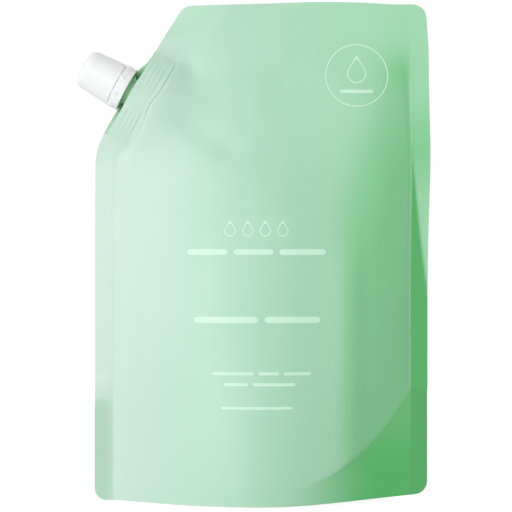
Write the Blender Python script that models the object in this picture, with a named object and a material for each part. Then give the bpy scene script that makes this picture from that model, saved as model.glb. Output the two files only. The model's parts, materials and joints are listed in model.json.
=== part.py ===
"""Stand-up refill pack of liquid soap, with a spout welded into its slanted corner and a screw cap."""

import math

import bmesh
import bpy
from mathutils import Vector

MM = 0.001

# Outline of the film pack, seen from the front
PACK_WIDTH = 139 * MM
PACK_HEIGHT = 206.5 * MM
SLANT_WIDTH = 36.9 * MM  # what the slanted corner takes off the top
SLANT_DROP = 62.5 * MM  # and off the left side
TOP_CORNER_RADIUS = 6 * MM
BASE_CORNER_RADIUS = 5 * MM
SLANT_CORNER_SOFTNESS = 2.5 * MM
BASE_LIFT = 2.2 * MM  # how far the right-hand base corner stands off the table
BASE_LIFT_HEIGHT = 60 * MM  # the lift has died out at this height

# Seams and film
SIDE_SEAM = 7.8 * MM
TOP_SEAM = 9.5 * MM
SEAM_THICKNESS = 0.6 * MM
FLAP_THICKNESS = 0.6 * MM
FLAP_SHARE = 0.45  # the most of the pack's half depth that a flap takes

# Fill: how far the front and back stand off the middle plane
BASE_HALF_DEPTH = 27.5 * MM
FILL_POWER = 1.25  # how the depth falls off towards the top
BULGE_POWER = 1.1  # how it falls off towards the side seams
FILL_BLEND = 3  # how sharply the fill and the swell over the spout's foot meet

# How the seams leave the middle plane
RIGHT_SEAM_SLOPE = 0.75  # the right seam leans back by this much
RIGHT_LEAN_TOP = 149 * MM  # above this height it lies flat
RIGHT_LEAN_REACH = 56 * MM  # it takes this much height to lean back over its whole width
LEFT_SEAM_SLOPE = 0.35  # the left seam leans forward at its foot
LEFT_LEAN_TOP = 58 * MM
LEFT_LEAN_REACH = 24 * MM

# Folded base: the base seam is low in the middle and rises to the side seams
BASE_SEAM_HEIGHT = 6 * MM
BASE_SEAM_RISE = 40 * MM
BASE_SEAM_POWER = 2.5  # how late the rise comes
RESTING_HALF_LENGTH = 36 * MM  # the flat oval that the pack stands on
RESTING_SHARE = 0.62  # its depth, as a share of the base's
FOLD_END_MARGIN = 5 * MM  # from the side seam to the end of the fold

# Where the spout sits on the slanted edge, and how it leans
SPOUT_FROM_TOP = 42.7 * MM  # along the edge, from the top corner
SPOUT_ELEVATION = math.radians(28.5)
FILM_LIP = 1.7 * MM  # the film's edge bows out round the spout
LIP_MIDDLE = -5 * MM  # the bow's middle, along the edge from the spout's
LIP_HALF_LENGTH = 25 * MM
LIP_POWER = 4  # how flat the bow is in its middle
FILM_OVER_BOAT = 0.45 * MM
TENT_LENGTH = 34 * MM  # from the spout's foot to where the film lies as if there were no spout

# Spout: a boat-shaped foot and a round neck
BORE_RADIUS = 4.5 * MM
BOAT_WALL = 0.8 * MM
BOAT_RIB_DEPTH = 0.6 * MM
BOAT_HALF_LENGTH = 20 * MM
BOAT_TIP_HALF_THICKNESS = 0.5 * MM
BOAT_SWELL_POWER = 0.9  # how full the boat is between its tips
BOAT_RIB_COUNT = 5
BOAT_RIB_PITCH = 1.9 * MM
BOAT_RIB_WIDTH = 0.9 * MM
BOAT_FIRST_RIB = 1.9 * MM  # from the slanted edge to the middle of the first rib
BOAT_INSET = 0.6 * MM  # how far the foot's top plate lies inside the slanted edge
BOAT_PLATE_THICKNESS = 0.7 * MM
POCKET_OVERRUN = 3 * MM  # the pocket's cutter goes this far past the film's edge
NECK_WALL = 1.3 * MM
SHOULDER_WIDTH = 1.6 * MM
SHOULDER_HEIGHT = 0.5 * MM
BEAD_WIDTH = 1.9 * MM
BEAD_HEIGHT = 1.1 * MM
NECK_CHAMFER = 0.4 * MM

# Tamper band
BAND_HEIGHT = 4.4 * MM
BAND_WALL = 1.35 * MM
BAND_CLEARANCE = 0.35 * MM  # round the bead
BAND_LIP_HEIGHT = 0.75 * MM
BAND_LIP_REACH = 0.9 * MM  # how far the lip reaches in under the bead
BAND_CHAMFER = 0.35 * MM

# Cap
CAP_HEIGHT = 15.7 * MM
CAP_RIM_RADIUS = 9.3 * MM
CAP_TAPER = 1.05 * MM
CAP_ROOF = 2.1 * MM
CAP_TOP_ROUNDING = 2.9 * MM
CAP_BORE_CLEARANCE = 1.35 * MM  # from the neck to the cap's wall, which the thread fills
CAP_RIB_COUNT = 40
CAP_RIB_DEPTH = 0.35 * MM
CAP_CHAMFER = 0.5 * MM

# Sealing disc in the cap
LINER_THICKNESS = 0.9 * MM
LINER_EDGE_CLEARANCE = 0.25 * MM

GAP = 0.3 * MM  # between pieces that touch

# How finely the meshes are cut
PANEL_COLUMNS = 24
SEAM_COLUMNS = 2
PANEL_ROWS = 34
CORNER_STEPS = 4
FLAP_STEPS = 3
FOLD_STEPS = 12
BOAT_STEPS = 20
TURNED_STEPS = 56
RIB_STEPS = 3  # points round the cap for each rib
SHARP_ANGLE = math.radians(35)

# Worked out from the values above
half_width = PACK_WIDTH / 2
seam_half = SEAM_THICKNESS / 2
right_seam_end = half_width - SIDE_SEAM
base_steps = 2 * FLAP_STEPS + FOLD_STEPS  # from front to back under the pack
fill_top = PACK_HEIGHT - TOP_SEAM
slant = math.atan2(SLANT_DROP, SLANT_WIDTH)
boat_half_thickness = BORE_RADIUS + BOAT_WALL + BOAT_RIB_DEPTH
boat_depth = BOAT_FIRST_RIB + BOAT_RIB_PITCH * (BOAT_RIB_COUNT - 1) + BOAT_RIB_WIDTH / 2
neck_radius = BORE_RADIUS + NECK_WALL
neck_bottom = -BOAT_INSET - BOAT_PLATE_THICKNESS / 2  # inside the foot's top plate
shoulder_bottom = FILM_LIP + GAP
shoulder_top = shoulder_bottom + SHOULDER_HEIGHT
band_bottom = FILM_LIP + GAP
band_top = band_bottom + BAND_HEIGHT
band_lip_bottom = shoulder_top + GAP
band_lip_top = band_lip_bottom + BAND_LIP_HEIGHT
bead_radius = neck_radius + BEAD_WIDTH
bead_bottom = band_lip_top + GAP
bead_top = bead_bottom + BEAD_HEIGHT
cap_rim = band_top + GAP
cap_top = cap_rim + CAP_HEIGHT
cap_roof_inside = cap_top - CAP_ROOF
cap_bore_radius = neck_radius + CAP_BORE_CLEARANCE
liner_top = cap_roof_inside - GAP
liner_bottom = liner_top - LINER_THICKNESS
neck_top = liner_bottom - GAP

slanted_corner = Vector((SLANT_WIDTH - half_width, 0, PACK_HEIGHT))
edge_direction = Vector((math.cos(slant), 0, math.sin(slant)))
spout_place = slanted_corner - edge_direction * SPOUT_FROM_TOP
spout_out = Vector((-math.cos(SPOUT_ELEVATION), 0, math.sin(SPOUT_ELEVATION)))
spout_across = Vector((math.sin(SPOUT_ELEVATION), 0, math.cos(SPOUT_ELEVATION)))


def clear_scene():
    """Remove what the file opened with."""
    for thing in list(bpy.data.objects):
        bpy.data.objects.remove(thing, do_unlink=True)


def plastic(name, colour, roughness):
    """A plain plastic finish."""
    material = bpy.data.materials.new(name)
    material.use_nodes = True
    shader = material.node_tree.nodes["Principled BSDF"]
    shader.inputs["Base Color"].default_value = (*colour, 1)
    shader.inputs["Roughness"].default_value = roughness
    shader.inputs["Metallic"].default_value = 0
    return material


def smooth_step(value):
    """0 below 0, 1 above 1, and a smooth rise between."""
    held = min(max(value, 0.0), 1.0)
    return held * held * (3 - 2 * held)


def even(count):
    """Shares from 0 to 1 in equal steps."""
    return [i / count for i in range(count + 1)]


def finished_object(name, bm, material, parent=None):
    """A named object from a mesh being edited, shaded smooth with its sharp edges kept."""
    mesh = bpy.data.meshes.new(name)
    bm.to_mesh(mesh)
    bm.free()
    mesh.shade_smooth()
    mesh.set_sharp_from_angle(angle=SHARP_ANGLE)
    mesh.materials.append(material)
    thing = bpy.data.objects.new(name, mesh)
    bpy.context.collection.objects.link(thing)
    thing.parent = parent
    return thing


def cut(thing, cutter, operation="DIFFERENCE"):
    """Add a Boolean to a thing and hide what it is cut or joined with."""
    step = thing.modifiers.new(cutter.name, "BOOLEAN")
    step.operation = operation
    step.solver = "EXACT"
    step.object = cutter
    cutter.hide_render = True
    cutter.display_type = "WIRE"


def lip_at(along):
    """How far the film's edge bows out, this far along it from the spout's middle."""
    return FILM_LIP * max(1 - (abs(along - LIP_MIDDLE) / LIP_HALF_LENGTH) ** LIP_POWER, 0)


def slant_rise(z):
    """How far up the slanted edge a height is: 0 below it, with a soft start."""
    rise = z - (PACK_HEIGHT - SLANT_DROP)
    return (rise + math.hypot(rise, SLANT_CORNER_SOFTNESS)) / 2


def left_edge(z):
    """The pack's left edge at a height: upright, then slanted, then rounded into the top."""
    x = slant_rise(z) / math.tan(slant) - half_width
    x -= lip_at((z - spout_place.z) / math.sin(slant)) / math.sin(slant)
    rounding_starts = PACK_HEIGHT - TOP_CORNER_RADIUS * (1 - math.cos(slant))
    if z > rounding_starts:
        centre = slanted_corner.x + TOP_CORNER_RADIUS * math.tan(slant / 2)
        up = z - (PACK_HEIGHT - TOP_CORNER_RADIUS)
        x = centre - math.sqrt(max(TOP_CORNER_RADIUS**2 - up * up, 0))
    return x + base_rounding(z)


def base_rounding(z):
    """How far a side comes in at the rounded base corner."""
    up = max(BASE_CORNER_RADIUS - z, 0)
    return BASE_CORNER_RADIUS - math.sqrt(max(BASE_CORNER_RADIUS**2 - up * up, 0))


def right_edge(z):
    """The pack's right edge at a height."""
    up = max(z - (PACK_HEIGHT - TOP_CORNER_RADIUS), 0)
    top_rounding = TOP_CORNER_RADIUS - math.sqrt(max(TOP_CORNER_RADIUS**2 - up * up, 0))
    return half_width - top_rounding - base_rounding(z)


def left_seam_end(z):
    """The inner side of the left seam at a height."""
    rise = slant_rise(z)
    share = smooth_step(rise / SLANT_CORNER_SOFTNESS)
    return rise / math.tan(slant) - half_width + SIDE_SEAM * (1 + share * (1 / math.sin(slant) - 1))


def middle_plane(x, z):
    """How far the seams leave the middle plane: the right one leans back, the left one's foot forward."""
    down = min(max((RIGHT_LEAN_TOP - z) / RIGHT_LEAN_REACH, 0), 1)
    leaning = SIDE_SEAM * (1 - (1 - down) ** 2)
    right = RIGHT_SEAM_SLOPE * min(max(x - right_seam_end, 0), leaning)
    left = LEFT_SEAM_SLOPE * max(SIDE_SEAM - half_width - x, 0)
    return right - left * smooth_step((LEFT_LEAN_TOP - z) / LEFT_LEAN_REACH)


def boat_half_at(across):
    """Half the thickness of the spout's foot, this far from its middle."""
    share = min(abs(across) / BOAT_HALF_LENGTH, 1)
    swell = math.cos(share * math.pi / 2) ** BOAT_SWELL_POWER if share < 1 else 0
    return BOAT_TIP_HALF_THICKNESS + (boat_half_thickness - BOAT_TIP_HALF_THICKNESS) * swell


def spout_swell(x, z):
    """How far the film stands off over the spout's foot, and behind it where it is held up like a tent."""
    off = Vector((x, 0, z)) - spout_place
    across = off.dot(spout_across)
    inward = -off.dot(spout_out)
    past_tip = abs(across) - BOAT_HALF_LENGTH - GAP
    over = boat_half_at(across) + GAP + FILM_OVER_BOAT - seam_half
    over *= 1 - smooth_step(past_tip / (2 * BOAT_TIP_HALF_THICKNESS + 2 * GAP))
    return over * (1 - smooth_step((inward - boat_depth - 2 * GAP) / TENT_LENGTH))


def half_depth(x, z):
    """How far the front and the back stand off the middle plane at a point of the outline."""
    if z >= fill_top:
        fill = 0
    else:
        low, high = left_seam_end(z), right_seam_end
        place = min(max((x - low) / (high - low) * 2 - 1, -1), 1)
        fill = BASE_HALF_DEPTH * (1 - (max(z, 0) / fill_top) ** FILL_POWER) * (1 - place**2) ** BULGE_POWER
    swell = spout_swell(x, z)
    return seam_half + (fill**FILL_BLEND + swell**FILL_BLEND) ** (1 / FILL_BLEND)


def column_x(share, z):
    """The x of a column of the panels at a height. The seams take the first and the last columns."""
    seam_share = SEAM_COLUMNS / (PANEL_COLUMNS + 2 * SEAM_COLUMNS)
    low, high = left_seam_end(z), right_seam_end
    if share < seam_share:
        return left_edge(z) + (low - left_edge(z)) * share / seam_share
    if share > 1 - seam_share:
        return high + (right_edge(z) - high) * (share - 1 + seam_share) / seam_share
    return low + (high - low) * (share - seam_share) / (1 - 2 * seam_share)


def row_heights():
    """The heights of the panels' rows: arcs at the rounded corners, the top seam's line, even steps between."""
    arc = [1 - math.cos(step * math.pi / 2) for step in even(CORNER_STEPS)]
    low = [BASE_CORNER_RADIUS * step for step in arc]
    high = [PACK_HEIGHT - TOP_CORNER_RADIUS * step for step in reversed(arc)]
    span = fill_top - BASE_CORNER_RADIUS
    return low + [BASE_CORNER_RADIUS + span * step for step in even(PANEL_ROWS)[1:]] + high


def lifted(x, z):
    """A point's height once the right-hand base corner is lifted."""
    lift = BASE_LIFT * smooth_step(x / half_width)
    return z + lift * (1 - smooth_step(z / BASE_LIFT_HEIGHT))


def panel_point(share, z, side):
    """A point of the front (side -1) or the back (side 1)."""
    x = column_x(share, z)
    return Vector((x, middle_plane(x, z) + side * half_depth(x, z), lifted(x, z)))


def base_seam_height(x):
    """The height of the line where the folded base leaves the front and the back."""
    reach = min(abs(x) / right_seam_end, 1)
    return BASE_SEAM_HEIGHT + BASE_SEAM_RISE * reach**BASE_SEAM_POWER


def fold_opening(x):
    """1 along the base, and 0 past the ends of its fold."""
    end = right_seam_end - FOLD_END_MARGIN
    return smooth_step((end - abs(x)) / FOLD_END_MARGIN)


def fold_height(x, place):
    """The height of the folded base under the soap, at a share of its half depth from the middle."""
    seam = base_seam_height(x)
    beyond = abs(x) - RESTING_HALF_LENGTH
    ridge = seam * smooth_step(beyond / (right_seam_end - RESTING_HALF_LENGTH))
    climb = smooth_step((abs(place) - RESTING_SHARE) / (1 - RESTING_SHARE))
    return (ridge + (seam - ridge) * climb) * fold_opening(x)


def base_point(share, step):
    """A point under the pack: from the front's lower edge up its flap, over the fold and down to the back's."""
    side = -1 if step * 2 < base_steps else 1
    from_edge = min(step, base_steps - step)
    if from_edge == 0:
        return panel_point(share, 0, side)
    x = column_x(share, 0)
    flap = min(FLAP_THICKNESS, FLAP_SHARE * half_depth(x, 0))
    seam = base_seam_height(x) * fold_opening(x)
    if from_edge <= FLAP_STEPS:
        z = height = seam * (from_edge - 1) / (FLAP_STEPS - 1)
        place = 1
    else:
        z = seam
        place = 1 - (from_edge - FLAP_STEPS) / (FOLD_STEPS / 2)
        height = fold_height(x, place)
    x = column_x(share, z)
    y = middle_plane(x, height) + side * place * (half_depth(x, z) - flap)
    return Vector((x, y, lifted(x, height)))


def add_sheet(bm, shares, steps, place):
    """A grid of quads over shares by steps, each point put where place says."""
    made = bmesh.ops.create_grid(bm, x_segments=len(shares) - 1, y_segments=len(steps) - 1, size=0.5)
    for vertex in made["verts"]:
        across = round((vertex.co.x + 0.5) * (len(shares) - 1))
        up = round((vertex.co.y + 0.5) * (len(steps) - 1))
        vertex.co = place(shares[across], steps[up])


def build_pouch(material, pocket):
    """The film pack and its soap as one body, with a pocket for the spout's foot."""
    bm = bmesh.new()
    shares = even(PANEL_COLUMNS + 2 * SEAM_COLUMNS)
    rows = row_heights()
    add_sheet(bm, shares, rows, lambda share, z: panel_point(share, z, -1))
    add_sheet(bm, shares, rows, lambda share, z: panel_point(share, z, 1))
    add_sheet(bm, [-1, 1], rows[1:], lambda side, z: panel_point(0, z, side))
    add_sheet(bm, [-1, 1], rows[1:], lambda side, z: panel_point(1, z, side))
    add_sheet(bm, shares, [-1, 1], lambda share, side: panel_point(share, PACK_HEIGHT, side))
    add_sheet(bm, shares, list(range(base_steps + 1)), base_point)
    bmesh.ops.remove_doubles(bm, verts=bm.verts[:], dist=0.001 * MM)
    bmesh.ops.holes_fill(bm, edges=bm.edges[:])  # the two lowest faces of the side edges
    bmesh.ops.recalc_face_normals(bm, faces=bm.faces[:])
    pouch = finished_object("pouch", bm, material)
    cut(pouch, pocket)
    return pouch


def boat_outline(extra):
    """The boat shape of the spout's foot, seen along the spout, grown by extra."""
    half_length = BOAT_HALF_LENGTH + extra
    points = []
    for side in (-1, 1):
        for step in even(BOAT_STEPS):
            angle = math.pi * step
            across = side * half_length * math.cos(angle)
            along = across * BOAT_HALF_LENGTH / half_length
            points.append((across, side * (boat_half_at(along) + extra)))
    return points


def add_stack(bm, outlines):
    """A closed body lofted through outlines, each a height and a list of points."""
    loops = [[bm.verts.new((x, y, z)) for x, y in points] for z, points in outlines]
    count = len(loops[0])
    for low, high in zip(loops, loops[1:]):
        for i in range(count):
            j = (i + 1) % count
            bm.faces.new((low[i], low[j], high[j], high[i]))
    bm.faces.new(list(reversed(loops[0])))
    bm.faces.new(loops[-1])
    bmesh.ops.recalc_face_normals(bm, faces=bm.faces[:])


def build_pocket(parent):
    """What the spout's foot takes out of the pack, open past the slanted edge."""
    bm = bmesh.new()
    outline = boat_outline(GAP)
    add_stack(bm, [(-boat_depth - GAP, outline), (FILM_LIP + POCKET_OVERRUN, outline)])
    return finished_object("spout_pocket", bm, None, parent)


def turned(name, profile, material, parent):
    """A solid turned about the spout's axis from a closed profile of radius and height."""
    bm = bmesh.new()
    rings = [[] for _ in profile]
    for ring, (radius, height) in zip(rings, profile):
        for i in range(TURNED_STEPS if radius > 0 else 1):
            angle = math.tau * i / TURNED_STEPS
            ring.append(bm.verts.new((radius * math.cos(angle), radius * math.sin(angle), height)))
    for low, high in zip(rings, rings[1:] + rings[:1]):
        if len(low) == 1 and len(high) == 1:
            continue
        for i in range(TURNED_STEPS):
            j = (i + 1) % TURNED_STEPS
            corners = [low[i % len(low)], low[j % len(low)], high[j % len(high)], high[i % len(high)]]
            bm.faces.new(list(dict.fromkeys(corners)))
    bmesh.ops.recalc_face_normals(bm, faces=bm.faces[:])
    return finished_object(name, bm, material, parent)


def build_spout(material, parent):
    """The spout: a ribbed boat-shaped foot, a round neck with shoulder and bead, and a bore through both."""
    full = boat_outline(0)
    shorter = 1 - BOAT_RIB_DEPTH / BOAT_HALF_LENGTH
    tip = BOAT_TIP_HALF_THICKNESS / 2
    slim = [(x * shorter, math.copysign(max(abs(y) - BOAT_RIB_DEPTH, tip), y)) for x, y in full]
    stack = []
    for rib in reversed(range(BOAT_RIB_COUNT)):
        middle = -BOAT_FIRST_RIB - rib * BOAT_RIB_PITCH
        below, above = middle - BOAT_RIB_WIDTH / 2, middle + BOAT_RIB_WIDTH / 2
        stack += [(below, slim)] * (rib < BOAT_RIB_COUNT - 1) + [(below, full), (above, full), (above, slim)]
    plate_bottom = -BOAT_INSET - BOAT_PLATE_THICKNESS
    stack += [(plate_bottom, slim), (plate_bottom, full), (-BOAT_INSET, full)]
    bm = bmesh.new()
    add_stack(bm, stack)
    spout = finished_object("spout", bm, material, parent)
    neck = turned("neck_blank", [
        (0, neck_bottom),
        (neck_radius, neck_bottom),
        (neck_radius, shoulder_bottom),
        (neck_radius + SHOULDER_WIDTH, shoulder_bottom),
        (neck_radius + SHOULDER_WIDTH, shoulder_top),
        (neck_radius, shoulder_top),
        (neck_radius, bead_bottom),
        (bead_radius, bead_bottom),
        (bead_radius, bead_bottom + BEAD_HEIGHT / 3),
        (neck_radius, bead_top),
        (neck_radius, neck_top - NECK_CHAMFER),
        (neck_radius - NECK_CHAMFER, neck_top),
        (0, neck_top),
    ], None, parent)
    bore = turned("spout_bore", [
        (0, -boat_depth - GAP),
        (BORE_RADIUS, -boat_depth - GAP),
        (BORE_RADIUS, neck_top + GAP),
        (0, neck_top + GAP),
    ], None, parent)
    cut(spout, neck, "UNION")
    cut(spout, bore)
    return spout


def build_band(material, parent):
    """The ring that stays on the neck when the cap is first opened, with a lip under the bead."""
    inside = bead_radius + BAND_CLEARANCE
    outside = inside + BAND_WALL
    lip_radius = bead_radius - BAND_LIP_REACH
    return turned("tamper_band", [
        (outside - BAND_CHAMFER, band_bottom),
        (outside, band_bottom + BAND_CHAMFER),
        (outside, band_top),
        (inside, band_top),
        (inside, band_lip_top),
        (lip_radius, band_lip_top),
        (lip_radius, band_lip_bottom),
        (inside, band_lip_bottom),
        (inside, band_bottom),
    ], material, parent)


def build_liner(material, parent):
    """The sealing disc between the cap's roof and the neck's lip."""
    radius = cap_bore_radius - LINER_EDGE_CLEARANCE
    profile = [(0, liner_bottom), (radius, liner_bottom), (radius, liner_top), (0, liner_top)]
    return turned("cap_liner", profile, material, parent)


def cap_outside():
    """Radius, height and rib strength down the outside of the cap, from its rim to its flat top."""
    side_top = cap_top - CAP_TOP_ROUNDING
    top_radius = CAP_RIM_RADIUS - CAP_TAPER
    rows = [(CAP_RIM_RADIUS, cap_rim, 0), (CAP_RIM_RADIUS, cap_rim + CAP_CHAMFER, 0)]
    rows += [(CAP_RIM_RADIUS, cap_rim + 2 * CAP_CHAMFER, 1), (top_radius, side_top, 1)]
    for step in even(CORNER_STEPS)[1:]:
        angle = step * math.pi / 2
        radius = top_radius - CAP_TOP_ROUNDING * (1 - math.cos(angle))
        rows.append((radius, side_top + CAP_TOP_ROUNDING * math.sin(angle), max(1 - 2 * step, 0)))
    return rows


def build_cap(material, parent):
    """The screw cap: a tapered shell with upright ribs outside and a smooth bore inside."""
    steps = CAP_RIB_COUNT * RIB_STEPS
    bm = bmesh.new()
    rows = [(cap_bore_radius - CAP_CHAMFER, cap_roof_inside, 0)]
    rows += [(cap_bore_radius, cap_roof_inside - CAP_CHAMFER, 0)]
    rows += [(cap_bore_radius, cap_rim + CAP_CHAMFER, 0), (cap_bore_radius + CAP_CHAMFER, cap_rim, 0)]
    loops = []
    for radius, height, ribbed in rows + cap_outside():
        loop = []
        for i in range(steps):
            angle = math.tau * i / steps
            here = radius - CAP_RIB_DEPTH * ribbed * (i % RIB_STEPS == 0)
            loop.append(bm.verts.new((here * math.cos(angle), here * math.sin(angle), height)))
        loops.append(loop)
    for low, high in zip(loops, loops[1:]):
        for i in range(steps):
            j = (i + 1) % steps
            bm.faces.new((low[i], low[j], high[j], high[i]))
    bm.faces.new(loops[0])
    bm.faces.new(loops[-1])
    bmesh.ops.recalc_face_normals(bm, faces=bm.faces[:])
    return finished_object("cap", bm, material, parent)


def build():
    """The whole pack, with the spout's pieces on an empty that stands on the spout's axis."""
    clear_scene()
    film = plastic("mint_film", (0.5, 0.79, 0.58), 0.45)
    white = plastic("white_cap_plastic", (0.88, 0.89, 0.88), 0.4)
    natural = plastic("spout_plastic", (0.84, 0.86, 0.84), 0.4)
    soft = plastic("liner_foam", (0.8, 0.8, 0.78), 0.8)
    axis = bpy.data.objects.new("spout_axis", None)
    bpy.context.collection.objects.link(axis)
    axis.location = spout_place
    axis.rotation_euler = (0, SPOUT_ELEVATION - math.pi / 2, 0)
    build_pouch(film, build_pocket(axis))
    build_spout(natural, axis)
    build_band(white, axis)
    build_liner(soft, axis)
    build_cap(white, axis)


build()
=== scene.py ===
"""Looks of a stand-up soap refill pack: printed film, welded spout and ribbed screw cap."""

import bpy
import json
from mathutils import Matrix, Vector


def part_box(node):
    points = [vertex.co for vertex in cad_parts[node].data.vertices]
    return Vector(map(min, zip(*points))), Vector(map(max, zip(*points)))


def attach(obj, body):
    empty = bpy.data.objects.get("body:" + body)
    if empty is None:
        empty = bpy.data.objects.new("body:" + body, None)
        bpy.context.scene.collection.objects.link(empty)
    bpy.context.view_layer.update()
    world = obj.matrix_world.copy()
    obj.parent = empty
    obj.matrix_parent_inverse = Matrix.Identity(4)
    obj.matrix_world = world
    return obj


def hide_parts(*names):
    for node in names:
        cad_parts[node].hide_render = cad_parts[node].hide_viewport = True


bl_info = {
    "name": "Soap Refill Pack",
    "version": (1, 0, 0),
    "blender": (4, 5, 0),
    "location": "3D View > Sidebar > Refill Pack",
    "description": "Models a stand-up refill pack with a corner spout around its packed frame",
    "category": "Add Mesh",
}

import json
import math

import bpy
import numpy as np
from bpy.props import FloatProperty, FloatVectorProperty, IntProperty, PointerProperty
from mathutils import Matrix, Vector

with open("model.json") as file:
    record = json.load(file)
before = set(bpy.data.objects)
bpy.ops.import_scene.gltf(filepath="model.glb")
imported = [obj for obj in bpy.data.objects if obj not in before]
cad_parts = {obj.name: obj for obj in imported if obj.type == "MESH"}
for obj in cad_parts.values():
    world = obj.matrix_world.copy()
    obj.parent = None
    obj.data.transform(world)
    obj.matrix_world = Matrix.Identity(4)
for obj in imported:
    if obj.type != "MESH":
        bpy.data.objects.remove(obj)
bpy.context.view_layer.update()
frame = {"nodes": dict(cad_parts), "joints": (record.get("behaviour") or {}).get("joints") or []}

MM = 0.001
MERGE_DISTANCE = 0.001 * MM

pack_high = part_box("pouch")[1]
turn_joint = next(j for j in frame["joints"] if j["name"] == "cap_turn")
lift_joint = next(j for j in frame["joints"] if j["name"] == "cap_lift")
spout_place = Vector(turn_joint["pos_m"])
spout_out = Vector(turn_joint["axis"]).normalized()
spout_across = Vector((0, 1, 0)).cross(spout_out).normalized()
spout_axes = Matrix((spout_across, (0, 1, 0), spout_out)).transposed().to_4x4()
spout_matrix = Matrix.Translation(spout_place) @ spout_axes

# Outline of the film pack, seen from the front
HALF_WIDTH = pack_high.x
PACK_HEIGHT = pack_high.z
SLANT_WIDTH = 36.9 * MM
SLANT_DROP = 62.5 * MM
SLANT = math.atan2(SLANT_DROP, SLANT_WIDTH)
TOP_CORNER_RADIUS = 6 * MM
BASE_CORNER_RADIUS = 5 * MM
SLANT_CORNER_SOFTNESS = 2.5 * MM
BASE_LIFT = 2.2 * MM
BASE_LIFT_HEIGHT = 60 * MM
RIGHT_BOW = 0.8 * MM
# Along the top edge: height, place and half width of its waves
TOP_WAVES = ((0.9 * MM, 27 * MM, 24 * MM), (-0.5 * MM, -32 * MM, 20 * MM), (-0.3 * MM, 57 * MM, 9 * MM))

# Seams, fill and folded base
SIDE_SEAM = 7.8 * MM
RIGHT_SEAM_END = HALF_WIDTH - SIDE_SEAM
TOP_SEAM = 9.5 * MM
SEAM_HALF = 0.3 * MM
FLAP_THICKNESS = 0.6 * MM
FLAP_SHARE = 0.45
FILL_TOP = PACK_HEIGHT - TOP_SEAM
BASE_HALF_DEPTH = 27.5 * MM
FILL_POWER = 1.25
BULGE_POWER = 1.1
LEFT_BULGE_POWER = 1.22
BASE_SEAM_HEIGHT = 6 * MM
BASE_SEAM_RISE = 40 * MM
BASE_SEAM_POWER = 2.5
RESTING_HALF_LENGTH = 36 * MM
RESTING_SHARE = 0.62
FOLD_END_MARGIN = 5 * MM
FOLD_STEPS = 16
BASE_TUCK = 0.1
BASE_TUCK_REACH = 7 * MM
EDGE_FULLNESS = 1.4 * MM
EDGE_REACH = 4.5 * MM
EDGE_FADE = 36 * MM
BEAD_HEIGHT = 0.12 * MM
BEAD_HALF_WIDTH = 0.35 * MM
BEAD_TOP = 172 * MM  # the bead along the right seam fades out over BEAD_FADE above this height
BEAD_FULL = 139 * MM  # and is only faint below this one
BEAD_FADE = 6 * MM
BEAD_FAINT = 0.15
FOLD_FADE = 0.3  # the share of a soft fold's length over which each end fades
SHORT_WAVE = 0.13 * MM
LONG_WAVE = 0.2 * MM

# The film's mesh
SEAM_COLUMNS_LEFT = 14
SEAM_COLUMNS_RIGHT = 12
FILL_COLUMNS = 148
COLUMN_COUNT = SEAM_COLUMNS_LEFT + FILL_COLUMNS + SEAM_COLUMNS_RIGHT
CLOSENESS = 0.65  # how much closer the columns stand near the seams
CROWDING = 1.5  # and how much closer on the right seam's inner side
FLAP_STEPS = 3
UNDER_STEPS = 2 * FLAP_STEPS + FOLD_STEPS
ROW = 1 * MM
SPOUT_ROW = 0.6 * MM
SPOUT_ROWS_START = 146 * MM

# Start and reach of what comes in along a height or a width
EDGE_FOOT = (30 * MM, 30 * MM)
EDGE_HEAD = (166 * MM, 26 * MM)
TUCK_WIDTH = (8 * MM, 26 * MM)
FLANK_TURN = (110 * MM, 80 * MM)
FLANK_SOFTENS = (84 * MM, 60 * MM)
FLAP_PALES = (14 * MM, 20 * MM)
TOP_BENDS = (182 * MM, 24 * MM)
RIGHT_PULLED_IN = (186 * MM, 16 * MM)
RIGHT_PULLED_WIDTH = (40 * MM, 24 * MM)
RIGHT_BOW_PLACE = 142 * MM
RIGHT_BOW_WIDTH = 26 * MM
TUCK_LEAST = 0.12  # the share of the tuck that is left on the spout's side

# Painted shade: the film is drawn darker and greener where shade falls, on the right flank turned from the
# light, the flap under the base seam, the leaning seams, the top left corner and a spot at the top right
SHADE_ATTRIBUTE = "painted_shade"
FLANK_X = 34 * MM
FLANK_SPREAD = 20 * MM
FLANK_SOFTNESS = 12 * MM
FLANK_SHADE = 0.5
FLANK_FADE = 135 * MM  # it fades above this height
FLAP_START = 12 * MM
FLAP_REACH = 36 * MM
FLAP_PALER = 0.2  # how much paler the flap is at its top than at its foot
STRIP_SHADE = 0.95
SEAM_SHADE = 0.5
SEAM_SHADE_HEIGHT = 147 * MM
SEAM_SHADE_REACH = 17 * MM
LEFT_STRIP_SHADE = 0.21
LEFT_STRIP_SOFTNESS = 4.5 * MM
CORNER_SHADE = 0.14
CORNER_SOFTNESS = 6 * MM
SHADE_SPOT_STRENGTH = 0.3
SHADE_SPOT_X = 56 * MM
SHADE_SPOT_Z = 178 * MM
SHADE_SPOT_REACH = 9 * MM

# How the side seams lean, and more so below the base's fold where they are four films thick
RIGHT_SEAM_SLOPE = 0.75
RIGHT_LEAN_TOP = 149 * MM
RIGHT_LEAN_REACH = 62 * MM
RIGHT_LEAN_POWER = 1.15
LEFT_SEAM_SLOPE = 0.14
LEFT_LEAN_TOP = 45 * MM
LEFT_LEAN_REACH = 7 * MM
LEFT_FOLD_HEIGHT = 42 * MM
LEFT_SEAM_BACK = 0.14
LEFT_BACK_END = 136 * MM  # above this height the left seam comes back into the middle plane
GUSSET_TOP = 46.5 * MM
GUSSET_STEP = 2 * MM
GUSSET_LEAN = 0.25

# The top left corner leans back beyond a short soft fold
TOP_FOLD_X = -21 * MM
TOP_FOLD_Z = 198 * MM
TOP_FOLD_SLOPE = 0.6
TOP_FOLD_SOFTNESS = 3 * MM
TOP_FOLD_LEAN = 0.1

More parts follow.
